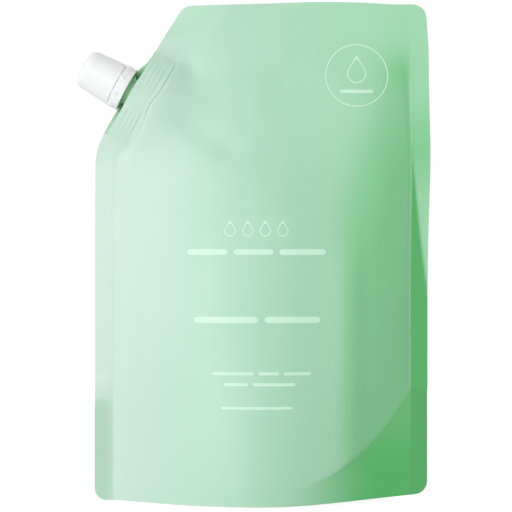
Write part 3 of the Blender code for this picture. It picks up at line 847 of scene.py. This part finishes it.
class Nodes:
    """The nodes of a material or a world, added and joined one by one."""

    def __init__(self, owner):
        owner.use_nodes = True
        self.owner = owner
        self.tree = owner.node_tree
        self.shader = self.tree.nodes.get("Principled BSDF")

    def add(self, kind, **values):
        """A node, with values for its inputs or its own settings."""
        node = self.tree.nodes.new(kind)
        for key, value in values.items():
            if key in node.inputs:
                node.inputs[key].default_value = value
            else:
                setattr(node, key, value)
        return node

    def feed(self, socket, source):
        """Give a socket a number, a colour or another node's output."""
        if isinstance(source, bpy.types.NodeSocket):
            self.tree.links.new(source, socket)
        elif isinstance(source, (int, float)):
            socket.default_value = source
        else:
            socket.default_value = (*source, 1)

    def shade(self, **sources):
        """Feed the shader's own sockets."""
        for name, source in sources.items():
            self.feed(self.shader.inputs[name.replace("_", " ")], source)

    def place(self):
        """Where a point lies on its own piece."""
        return self.add("ShaderNodeTexCoord").outputs["Object"]

    def noise(self, place, scale, detail, roughness=0.5):
        """Soft clouds."""
        clouds = self.add("ShaderNodeTexNoise", Scale=scale, Detail=detail, Roughness=roughness)
        self.feed(clouds.inputs["Vector"], place)
        return clouds.outputs["Fac"]

    def ranged(self, value, start, end, low=0.0, high=1.0):
        """A value moved from one range to another."""
        node = self.add("ShaderNodeMapRange")
        self.feed(node.inputs["Value"], value)
        for name, limit in (("From Min", start), ("From Max", end), ("To Min", low), ("To Max", high)):
            node.inputs[name].default_value = limit
        return node.outputs["Result"]

    def worked(self, operation, *terms):
        """The result of an operation on numbers and outputs."""
        node = self.add("ShaderNodeMath", operation=operation)
        for socket, term in zip(node.inputs, terms):
            self.feed(socket, term)
        return node.outputs["Value"]

    def along(self, place, direction):
        """How far a point lies along a direction."""
        dot = self.add("ShaderNodeVectorMath", operation="DOT_PRODUCT")
        dot.inputs[1].default_value = direction
        self.feed(dot.inputs[0], place)
        return dot.outputs["Value"]

    def mixed(self, share, first, second):
        """One colour going over to another."""
        node = self.add("ShaderNodeMix", data_type="RGBA")
        for number, source in ((0, share), (6, first), (7, second)):
            self.feed(node.inputs[number], source)
        return node.outputs[2]

    def ramped(self, value, *stops):
        """A colour for a value, from places and colours in rising order."""
        ramp = self.add("ShaderNodeValToRGB")
        elements = ramp.color_ramp.elements
        while len(elements) < len(stops):
            elements.new(1.0)
        for element, (position, colour) in zip(elements, stops):
            element.position, element.color = position, (*colour, 1)
        self.feed(ramp.inputs["Fac"], value)
        return ramp.outputs["Color"]

    def bumped(self, height, strength, distance, before=None):
        """A normal from a height, over another one where there is one."""
        bump = self.add("ShaderNodeBump", Strength=strength, Distance=distance)
        self.feed(bump.inputs["Height"], height)
        if before:
            self.feed(bump.inputs["Normal"], before)
        return bump.outputs["Normal"]

    def blended(self, share, first, second, output):
        """One shader going over to another, shown at the tree's output."""
        mix = self.add("ShaderNodeMixShader")
        for socket, source in zip(mix.inputs, (share, first, second)):
            self.feed(socket, source)
        self.feed(output.inputs["Surface"], mix.outputs["Shader"])


def darker(colour, share):
    """A colour made darker by a share."""
    return [part * (1 - share) for part in colour]


def across_pack(nodes, place, cloud, nudge):
    """0 on the spout's side of the pack and 1 on the far side, a little uneven."""
    axes = nodes.add("ShaderNodeSeparateXYZ")
    nodes.feed(axes.inputs[0], place)
    across = nodes.ranged(axes.outputs["X"], -HALF_WIDTH, HALF_WIDTH)
    return nodes.worked("MULTIPLY_ADD", cloud, nudge, across)


def film_material():
    """Satin film: a mint that deepens across the pack, partly print and partly painted sheen and shade,
    and deepens further by the mesh's painted shade attribute.
    """
    film = settings().film
    nodes = Nodes(bpy.data.materials.new("mint_film"))
    place = nodes.place()
    mottle = nodes.noise(place, scale=28, detail=3)
    across = across_pack(nodes, place, mottle, nudge=0.08)
    # The ramp across the pack is partly print and partly painted sheen on the spout's side and painted
    # shade on the far side
    print_and_sheen = nodes.ramped(across, (0.08, film.pale), (0.46, film.middle), (1.0, film.far))
    # depth is the mesh's painted shade, which mixes in the deep colour
    depth = nodes.add("ShaderNodeAttribute", attribute_name=SHADE_ATTRIBUTE).outputs["Fac"]
    rough = nodes.ranged(mottle, 0, 1, film.roughness - 0.05, film.roughness + 0.05)
    grain = nodes.noise(place, scale=900, detail=2)
    fine = nodes.bumped(grain, strength=0.08, distance=0.05 * MM)
    swell = nodes.noise(place, scale=60, detail=2, roughness=0.45)
    soft = nodes.bumped(swell, strength=0.25, distance=0.25 * MM, before=fine)
    nodes.shade(Base_Color=nodes.mixed(depth, print_and_sheen, film.deep), Roughness=rough, Normal=soft)
    nodes.shade(Specular_IOR_Level=1.0)
    return nodes.owner


def film_side_material(name, colour, ends=None):
    """The film's cut edge or its inner side: a plain plastic with a slight unevenness of colour.

    The inner side's darker green is painted shade between the films. With ends, the colour goes over to
    that one towards the ends of the spout's foot, where the painted shade gives way.
    """
    nodes = Nodes(bpy.data.materials.new(name))
    place = nodes.place()
    cloud = nodes.noise(place, scale=240, detail=2)
    shown = nodes.ramped(cloud, (0.0, darker(colour, 0.1)), (1.0, colour))
    if ends:
        off = nodes.worked("SUBTRACT", nodes.along(place, spout_across), spout_place.dot(spout_across))
        away = nodes.worked("ABSOLUTE", off)
        share = nodes.ranged(away, 0.4 * BOAT_HALF_LENGTH, BOAT_HALF_LENGTH)
        shown = nodes.mixed(share, shown, ends)
    nodes.shade(Base_Color=shown, Roughness=0.45)
    return nodes.owner


def moulded_material(name, colour, roughness, scale, foot=None):
    """Moulded plastic: a slight unevenness of colour and gloss, and the faint grain of the mould.

    With foot, the spout's part between the films takes that colour: the films' green with painted shade
    between them.
    """
    nodes = Nodes(bpy.data.materials.new(name))
    place = nodes.place()
    cloud = nodes.noise(place, scale, detail=2)
    shown = nodes.mixed(cloud, darker(colour, 0.035), colour)
    if foot:
        start = spout_place.dot(spout_out) + FOOT_COLOUR_END
        share = nodes.ranged(nodes.along(place, spout_out), start, start + 0.3 * MM)
        shown = nodes.mixed(share, foot, shown)
    gloss = nodes.ranged(cloud, 0, 1, roughness - 0.04, roughness + 0.05)
    grain = nodes.noise(place, scale=2600, detail=1)
    grained = nodes.bumped(grain, strength=0.05, distance=0.03 * MM)
    nodes.shade(Base_Color=shown, Roughness=gloss, Normal=grained)
    return nodes.owner


def ink_material():
    """Pale matte ink with a slight unevenness, with painted sheen on the spout's side and painted shade on
    the far side, as on the film.
    """
    ink = settings().ink
    nodes = Nodes(bpy.data.materials.new("pale_ink"))
    place = nodes.place()
    cloud = nodes.noise(place, scale=400, detail=2)
    # Paler on the spout's side and darker on the far side: painted sheen and shade as on the film
    across = across_pack(nodes, place, cloud, nudge=0.05)
    nodes.shade(Base_Color=nodes.ramped(across, (0.25, ink.pale), (0.85, ink.colour)), Roughness=0.5)
    return nodes.owner


def linked(name, data):
    """A new object with this data."""
    thing = bpy.data.objects.new(name, data)
    bpy.context.collection.objects.link(thing)
    return thing


def drawn(name, points, edges=(), faces=()):
    """A new mesh object from points and their edges or faces."""
    mesh = bpy.data.meshes.new(name)
    mesh.from_pydata(points, edges, faces)
    return linked(name, mesh)


def section_of(name, profile):
    """A new object with the closed outline of a profile of radius and height."""
    count = len(profile)
    edges = [(corner, (corner + 1) % count) for corner in range(count)]
    return drawn(name, [(radius, 0, height) for radius, height in profile], edges)


def pocket_cutter():
    """The boat-shaped space in the film that the spout's foot fills, open past the slanted edge."""
    half_length = BOAT_HALF_LENGTH + GAP
    points = []
    for side in (-1, 1):
        for angle in np.linspace(0, math.pi, POCKET_STEPS):
            across = side * half_length * math.cos(angle)
            along = across * BOAT_HALF_LENGTH / half_length
            points.append((across, side * (float(boat_half_at(along)) + GAP), -BOAT_DEPTH - GAP))
    cutter = drawn("pocket_cutter", points, faces=[list(range(len(points)))])
    start_editing(cutter)
    height = BOAT_DEPTH + GAP + BACK_LIP + POCKET_OVERRUN
    bpy.ops.mesh.extrude_region_move(TRANSFORM_OT_translate={"value": (0, 0, height)})
    bpy.ops.mesh.select_all(action="SELECT")
    bpy.ops.mesh.normals_make_consistent(inside=False)
    bpy.ops.object.mode_set(mode="OBJECT")
    onto_spout(cutter)
    return cutter


class REFILL_OT_film(bpy.types.Operator):
    """Model the printed film pack with its seams, folds and folded base"""

    bl_idname = "refill.film"
    bl_label = "Film Pack"

    def execute(self, context):
        select_only()
        rows = row_heights()
        columns = np.arange(COLUMN_COUNT + 1, dtype=float)
        faces = [
            add_sheet(columns, rows, lambda column, z: panel_points(column, z, -1), panel_shade),
            add_sheet(columns, rows, lambda column, z: panel_points(column, z, 1), panel_shade),
            add_sheet(columns, np.arange(UNDER_STEPS + 1.0), under_points),
        ]
        edges = [
            add_sheet(columns, np.array([0.0, 1.0]), top_edge),
            seam_edge(0.0, rows[1:]),
            seam_edge(float(COLUMN_COUNT), rows[1:]),
        ]
        print_and_sheen = film_material()
        cut_edge = film_side_material("film_edge", settings().film.edge)
        for sheets, material in ((faces, print_and_sheen), (edges, cut_edge)):
            for sheet in sheets:
                sheet.data.materials.append(material)
        select_only(*faces, *edges)
        bpy.ops.object.join()
        film = bpy.context.object
        film.name = "film_pack"
        clean_up(film)
        mark_right_crease(film)
        cutter = pocket_cutter()
        # The pocket's inner faces get the inside colour, darker as painted shade between the films
        colours = settings().film
        inside = film_side_material("film_inside_painted_shade", colours.inside, colours.edge)
        cutter.data.materials.append(inside)
        cut = film.modifiers.new("spout_pocket", "BOOLEAN")
        cut.object = cutter
        cut.solver = "EXACT"
        cut.material_mode = "TRANSFER"
        apply_all(film)
        bpy.data.objects.remove(cutter, do_unlink=True)
        finish_piece(film, "pack", angle=50)
        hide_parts("pouch")
        return {"FINISHED"}


def spun(name, profile, steps):
    """A body turned about the upright axis from a closed profile of radius and height."""
    thing = section_of(name, profile)
    start_editing(thing)
    bpy.ops.mesh.spin(steps=steps, angle=math.tau, center=(0, 0, 0), axis=(0, 0, 1))
    bpy.ops.object.mode_set(mode="OBJECT")
    clean_up(thing)
    return thing


def arc_points(centre, radius, start, end, steps):
    """Points on an arc in a profile, in degrees from straight out."""
    angles = np.radians(np.linspace(start, end, steps))
    return [(centre[0] + radius * math.cos(a), centre[1] + radius * math.sin(a)) for a in angles]


def cap_profile(cap):
    """The cap's section: up its outside, over the rounded top, and back down inside the bore."""
    side_top = CAP_TOP - cap.rounding
    rim_centre = (cap.rim_radius - RIM_ROUNDING, CAP_RIM + RIM_ROUNDING)
    outer = arc_points(rim_centre, RIM_ROUNDING, -90, 0, 4)
    for share in np.linspace(0.08, 1, 12):
        radius = cap.rim_radius + (cap.top_radius - cap.rim_radius) * share
        outer.append((radius, CAP_RIM + (side_top - CAP_RIM) * share))
    outer += arc_points((cap.top_radius - cap.rounding, side_top), cap.rounding, 8, 90, 12)
    dished = CAP_TOP - DISH_DEPTH
    middle = [(DISH_RADIUS, CAP_TOP), (DISH_FLOOR_RADIUS, dished), (0.0, dished), (0.0, CAP_ROOF)]
    roof = [(ROOF_LOOP_RADIUS, CAP_ROOF), (CAP_BORE_RADIUS - BORE_CHAMFER, CAP_ROOF)]
    bore = [(CAP_BORE_RADIUS, CAP_ROOF - BORE_CHAMFER), (CAP_BORE_RADIUS, CAP_RIM + BORE_CHAMFER)]
    return outer + middle + roof + bore + [(CAP_BORE_RADIUS + BORE_CHAMFER, CAP_RIM)]


def press_ribs(thing, cap):
    """Sink the spaces between the cap's upright ribs, fading out at the rim and over the rounded top."""
    low, high = CAP_RIM + RIB_START, CAP_TOP - cap.rounding * RIB_END_SHARE
    for vertex in thing.data.vertices:
        x, y, z = vertex.co
        radius = math.hypot(x, y)
        if radius < CAP_BORE_RADIUS + 0.3 * MM or not low < z < high:
            continue
        fade = float(rise(z, low, RIB_FADE_UP) * smooth((high - z) / RIB_FADE_DOWN))
        wave = 0.5 - 0.5 * math.cos(math.atan2(y, x) * cap.ribs)
        groove = cap.rib_depth * fade * (1 - wave)
        vertex.co.x -= groove * x / radius
        vertex.co.y -= groove * y / radius


def thread(name, inner, outer, low, high, inward=False):
    """Helical ridges between two radii, right-handed, with a blunt section."""
    root, crest = (outer, inner) if inward else (inner, outer)
    section = [(root, low - THREAD_ROOT_HALF), (crest, low - THREAD_CREST_HALF)]
    section += [(crest, low + THREAD_CREST_HALF), (root, low + THREAD_ROOT_HALF)]
    turns = (high - low) / THREAD_LEAD
    ridges = []
    for start in range(THREAD_STARTS):
        ridge = section_of(name, section)
        screw = ridge.modifiers.new("helix", "SCREW")
        screw.angle = math.tau * turns
        screw.screw_offset = high - low
        screw.steps = screw.render_steps = int(STEPS_PER_TURN * turns)
        screw.use_merge_vertices = False
        apply_all(ridge)
        ridge.rotation_euler.z = math.tau * start / THREAD_STARTS
        ridges.append(ridge)
    joined = settled(*ridges)
    clean_up(joined)
    return joined


class REFILL_OT_cap(bpy.types.Operator):
    """Model the ribbed screw cap with its bore and inner thread"""

    bl_idname = "refill.cap"
    bl_label = "Screw Cap"

    def execute(self, context):
        cap = settings().cap
        white = moulded_material("cap_white", cap.colour, 0.38, 180.0)
        shell = spun("cap_shell", cap_profile(cap), cap.ribs * 8)
        press_ribs(shell, cap)
        onto_spout(shell)
        finish_piece(shell, "cap", white, 40)
        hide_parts("cap")
        inner, outer = NECK_RADIUS + CAP_THREAD_CLEARANCE, CAP_BORE_RADIUS + THREAD_SUNK
        low, high = CAP_RIM + THREAD_START, CAP_RIM + THREAD_END
        ridges = thread("cap_thread", inner, outer, low, high, inward=True)
        onto_spout(ridges)
        finish_piece(ridges, "cap", white, 30)
        return {"FINISHED"}


class REFILL_OT_band(bpy.types.Operator):
    """Model the tamper band with the stubs of its bridges"""

    bl_idname = "refill.band"
    bl_label = "Tamper Band"

    def execute(self, context):
        white = moulded_material("band_white", settings().cap.colour, 0.4, 180.0)
        foot = (BAND_RADIUS - BAND_FOOT_ROUNDING, BAND_BOTTOM + BAND_FOOT_ROUNDING)
        shoulder = (BAND_RADIUS - BAND_TOP_ROUNDING, BAND_TOP - BAND_TOP_ROUNDING)
        profile = arc_points(foot, BAND_FOOT_ROUNDING, -90, 0, 5)
        profile += arc_points(shoulder, BAND_TOP_ROUNDING, 0, 90, 4)
        ledge = BAND_TOP + LEDGE_RISE
        profile += [(LEDGE_FOOT_RADIUS, BAND_TOP), (LEDGE_RADIUS, ledge)]
        profile += [(BAND_BORE_RADIUS + LEDGE_BORE, ledge), (BAND_BORE_RADIUS, BAND_TOP)]
        profile += [(BAND_BORE_RADIUS, BAND_LIP_TOP)]
        profile += [(BAND_LIP_RADIUS, BAND_LIP_TOP), (BAND_LIP_RADIUS, BAND_LIP_BOTTOM)]
        profile += [(BAND_BORE_RADIUS, BAND_LIP_BOTTOM), (BAND_BORE_RADIUS, BAND_BOTTOM)]
        ring = spun("band_ring", profile, 128)
        stubs = [ring]
        for step in range(BRIDGES):
            angle = math.tau * step / BRIDGES - FIRST_BRIDGE
            x, y = BRIDGE_RADIUS * math.cos(angle), BRIDGE_RADIUS * math.sin(angle)
            place = (x, y, BAND_TOP - BRIDGE_DROP)
            bpy.ops.mesh.primitive_cube_add(size=1, location=place, rotation=(0, 0, angle))
            stub = bpy.context.object
            stub.scale = BRIDGE_SIZE
            rounded = stub.modifiers.new("rounded", "BEVEL")
            rounded.width = BRIDGE_ROUNDING
            rounded.segments = 2
            select_only(stub)
            bpy.ops.object.transform_apply(location=False, rotation=False, scale=True)
            apply_all(stub)
            stubs.append(stub)
        settled(*stubs)
        onto_spout(ring)
        finish_piece(ring, "pack", white, 35)
        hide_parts("tamper_band")
        return {"FINISHED"}


class REFILL_OT_spout(bpy.types.Operator):
    """Give the spout its finish and its thread, and the liner its foam"""

    bl_idname = "refill.spout"
    bl_label = "Spout and Liner"

    def execute(self, context):
        # The foot between the films takes the inside's darker green, painted shade
        green = settings().film.inside
        natural = moulded_material("spout_natural", (0.82, 0.85, 0.82), 0.36, 160.0, green)
        foam = moulded_material("liner_foam", (0.84, 0.84, 0.82), 0.75, 700.0)
        for node, material in (("spout", natural), ("cap_liner", foam)):
            paint(frame["nodes"][node], material)
        inner, outer = NECK_RADIUS - THREAD_SUNK, NECK_RADIUS + NECK_THREAD_HEIGHT
        low = CAP_RIM + THREAD_START + THREAD_LEAD / THREAD_STARTS / 2
        ridges = thread("neck_thread", inner, outer, low, NECK_TOP - NECK_THREAD_END)
        onto_spout(ridges)
        finish_piece(ridges, "pack", natural, 30)
        return {"FINISHED"}


def lay_on_film(thing):
    """Lay a flat upright drawing on the film's front and give it the ink's thickness."""
    ink = settings().ink
    x, z = points_of(thing)[:, 0], points_of(thing)[:, 2]
    y = middle_plane(x, z) - half_depth(x, z, -1) - ink.lift
    laid = np.stack([pulled(x, z), y, lifted(x, z)], axis=-1)
    thing.data.vertices.foreach_set("co", laid.ravel())
    shell = thing.modifiers.new("ink", "SOLIDIFY")
    shell.thickness = ink.thickness
    shell.offset = 0
    apply_all(thing)
    clean_up(thing)


def flat_bar(x, z, width, height):
    """A flat bar with round ends, standing upright, cut finely enough to follow the film."""
    radius = height / 2
    across = max(int(width / BAR_CELL), BAR_LEAST_CELLS)
    bpy.ops.mesh.primitive_grid_add(x_subdivisions=across, y_subdivisions=BAR_ROWS, size=1)
    bar = bpy.context.object
    for vertex in bar.data.vertices:
        u, v = vertex.co.x, vertex.co.y * 2
        reach = width / 2 - radius + radius * math.sqrt(max(1 - v * v, 0))
        vertex.co = (x + u * 2 * reach, 0, z + v * radius)
    return bar


def flat_ring(x, z, radius, width, steps, squash=1, pointed=0):
    """A flat ring standing upright, narrowed by squash. Where pointed is 1 it is drawn out into a drop."""
    bpy.ops.mesh.primitive_circle_add(vertices=steps, radius=radius, fill_type="NOTHING")
    ring = bpy.context.object
    start_editing(ring)
    bpy.ops.mesh.extrude_region_move()
    share = 1 - width / radius
    bpy.ops.transform.resize(value=(share, share, 1), center_override=(0, 0, 0))
    bpy.ops.object.mode_set(mode="OBJECT")
    for vertex in ring.data.vertices:
        u, v = vertex.co.x, vertex.co.y
        drawn_up = pointed * max(v / radius, 0) ** 2
        across = u * squash * (1 - drawn_up * DROP_PINCH)
        vertex.co = (x + across, 0, z + v * (1 + drawn_up * DROP_STRETCH))
    return ring


def flat_drop(x, z, radius, width, steps):
    """The outline of a drop."""
    return flat_ring(x, z, radius, width, steps, DROP_SQUASH, 1)


def finish_ink(shapes, name):
    """Join flat shapes into one printed piece on the film."""
    piece = settled(*shapes)
    piece.name = name
    lay_on_film(piece)
    finish_piece(piece, "pack", ink_material(), 60)


class REFILL_OT_badge(bpy.types.Operator):
    """Print the ring badge with a plain drop in it"""

    bl_idname = "refill.badge"
    bl_label = "Badge"

    def execute(self, context):
        ink = settings().ink
        up, radius, line = BADGE_DROP
        bar_up, length, height = BADGE_BAR
        shapes = [
            flat_ring(BADGE_X, BADGE_Z, ink.ring_radius, ink.line_width, 128),
            flat_drop(BADGE_X, BADGE_Z + up, radius, line, 48),
            flat_bar(BADGE_X, BADGE_Z + bar_up, length, height),
        ]
        finish_ink(shapes, "badge_print")
        return {"FINISHED"}


# Bars in the place of words: middle across, height up, length and thickness, in millimetres
WORD_BARS = (
    (-22.4, 103.2, 16.6, 2.4),
    (-3.4, 103.2, 16.4, 2.4),
    (16.8, 103.2, 19.2, 2.4),
    (-14.6, 75.5, 26.4, 2.6),
    (12.6, 75.5, 22.6, 2.6),
    (-11.8, 53.7, 17.0, 1.3),
    (2.8, 53.7, 8.4, 1.3),
    (14.5, 53.7, 11.2, 1.3),
    (-10.6, 49.3, 9.8, 1.3),
    (4.9, 49.3, 17.4, 1.3),
    (-2.0, 39.8, 29.2, 1.2),
)
# A row of small drops above them, in millimetres across
DROP_ROW = (-13.0, -5.8, 1.4, 8.6)


class REFILL_OT_words(bpy.types.Operator):
    """Print a row of small drops and plain bars in the place of words"""

    bl_idname = "refill.words"
    bl_label = "Word Bars"

    def execute(self, context):
        bars = [flat_bar(x * MM, z * MM, width * MM, height * MM) for x, z, width, height in WORD_BARS]
        drops = [flat_drop(x * MM, DROP_ROW_Z, DROP_RADIUS, DROP_LINE, 40) for x in DROP_ROW]
        finish_ink(bars + drops, "word_print")
        return {"FINISHED"}


def white_for_camera(name, colour, share):
    """A floor that shows white to the camera and keeps a soft shadow."""
    nodes = Nodes(bpy.data.materials.new(name))
    nodes.shade(Base_Color=colour, Roughness=0.9, Specular_IOR_Level=0.1)
    glow = nodes.add("ShaderNodeEmission", Strength=FLOOR_GLOW)
    path = nodes.add("ShaderNodeLightPath").outputs
    direct = nodes.worked("MAXIMUM", path["Is Camera Ray"], path["Is Transmission Ray"])
    shown = nodes.worked("MAXIMUM", direct, path["Is Glossy Ray"])
    seen = nodes.worked("MULTIPLY", shown, share)
    output = nodes.tree.nodes["Material Output"]
    nodes.blended(seen, nodes.shader.outputs["BSDF"], glow.outputs["Emission"], output)
    return nodes.owner


def white_world(strength):
    """An even pale light all round that shows white to the camera and in reflections."""
    world = bpy.data.worlds.new("studio")
    bpy.context.scene.world = world
    nodes = Nodes(world)
    nodes.tree.nodes.clear()
    output = nodes.add("ShaderNodeOutputWorld")
    light = nodes.add("ShaderNodeBackground", Color=(1, 1, 1, 1), Strength=strength)
    seen = nodes.add("ShaderNodeBackground", Color=(1, 1, 1, 1), Strength=1)
    path = nodes.add("ShaderNodeLightPath").outputs
    either = nodes.worked("MAXIMUM", path["Is Camera Ray"], path["Is Glossy Ray"])
    nodes.blended(either, light.outputs["Background"], seen.outputs["Background"], output)


def area_lamp(name, place, target, power):
    """A big soft lamp that looks at a point."""
    lamp = bpy.data.lights.new(name, "AREA")
    lamp.shape = "RECTANGLE"
    lamp.size = lamp.size_y = LAMP_SIZE
    lamp.energy = power
    thing = linked(name, lamp)
    thing.location = place
    thing.rotation_euler = (Vector(target) - Vector(place)).to_track_quat("-Z", "Y").to_euler()


class REFILL_OT_stage(bpy.types.Operator):
    """Set up the floor, the soft light and the camera"""

    bl_idname = "refill.stage"
    bl_label = "Stage"

    def execute(self, context):
        stage = settings().stage
        select_only()
        bpy.ops.mesh.primitive_plane_add(size=FLOOR_SIZE, location=(0, 0, -FLOOR_DROP))
        floor = context.object
        floor.name = "floor"
        floor.data.materials.append(white_for_camera("floor_white", (0.9, 0.9, 0.9), share=0.85))
        white_world(stage.world)
        area_lamp("key", (-0.64, -1.12, 0.46), (0, 0, 0.1), stage.key_power)
        area_lamp("fill", (-1.1, -0.4, 0.05), (0, 0, 0.08), stage.fill_power)
        area_lamp("back", (0.25, 1.25, 0.4), (0, 0, 0.1), stage.back_power)
        camera = linked("camera", bpy.data.cameras.new("camera"))
        camera.location = (stage.centre_x, -stage.distance, stage.centre_z)
        camera.rotation_euler = (math.pi / 2, 0, 0)
        camera.data.sensor_width = SENSOR_WIDTH
        seen_width = PICTURE_WIDTH / (stage.scale * 1000)
        camera.data.lens = SENSOR_WIDTH * stage.distance / seen_width
        camera.data.clip_start = 0.01
        context.scene.camera = camera
        context.scene.view_settings.view_transform = "Standard"
        return {"FINISHED"}


PIECE_OPERATORS = (
    REFILL_OT_film,
    REFILL_OT_spout,
    REFILL_OT_band,
    REFILL_OT_cap,
    REFILL_OT_badge,
    REFILL_OT_words,
    REFILL_OT_stage,
)


class REFILL_PT_panel(bpy.types.Panel):
    """The steps and their settings"""

    bl_idname = "REFILL_PT_panel"
    bl_label = "Refill Pack"
    bl_space_type = "VIEW_3D"
    bl_region_type = "UI"
    bl_category = "Refill Pack"

    def draw(self, context):
        pack = context.scene.refill_pack
        for group in (pack.film, pack.cap, pack.ink, pack.stage):
            box = self.layout.box()
            for name in group.__annotations__:
                box.prop(group, name)
        for operator in PIECE_OPERATORS:
            self.layout.operator(operator.bl_idname)


CLASSES = (FilmSettings, CapSettings, PrintSettings, StageSettings, RefillPackSettings)
CLASSES += (*PIECE_OPERATORS, REFILL_PT_panel)


def register():
    """Add the settings, the operators and the panel."""
    for cls in CLASSES:
        bpy.utils.register_class(cls)
    bpy.types.Scene.refill_pack = PointerProperty(type=RefillPackSettings)


def unregister():
    """Take them away again."""
    del bpy.types.Scene.refill_pack
    for cls in reversed(CLASSES):
        bpy.utils.unregister_class(cls)


def main():
    """Build every piece and the stage."""
    register()
    bpy.ops.refill.film()
    bpy.ops.refill.spout()
    bpy.ops.refill.band()
    bpy.ops.refill.cap()
    bpy.ops.refill.badge()
    bpy.ops.refill.words()
    bpy.ops.refill.stage()


if __name__ == "__main__":
    main()
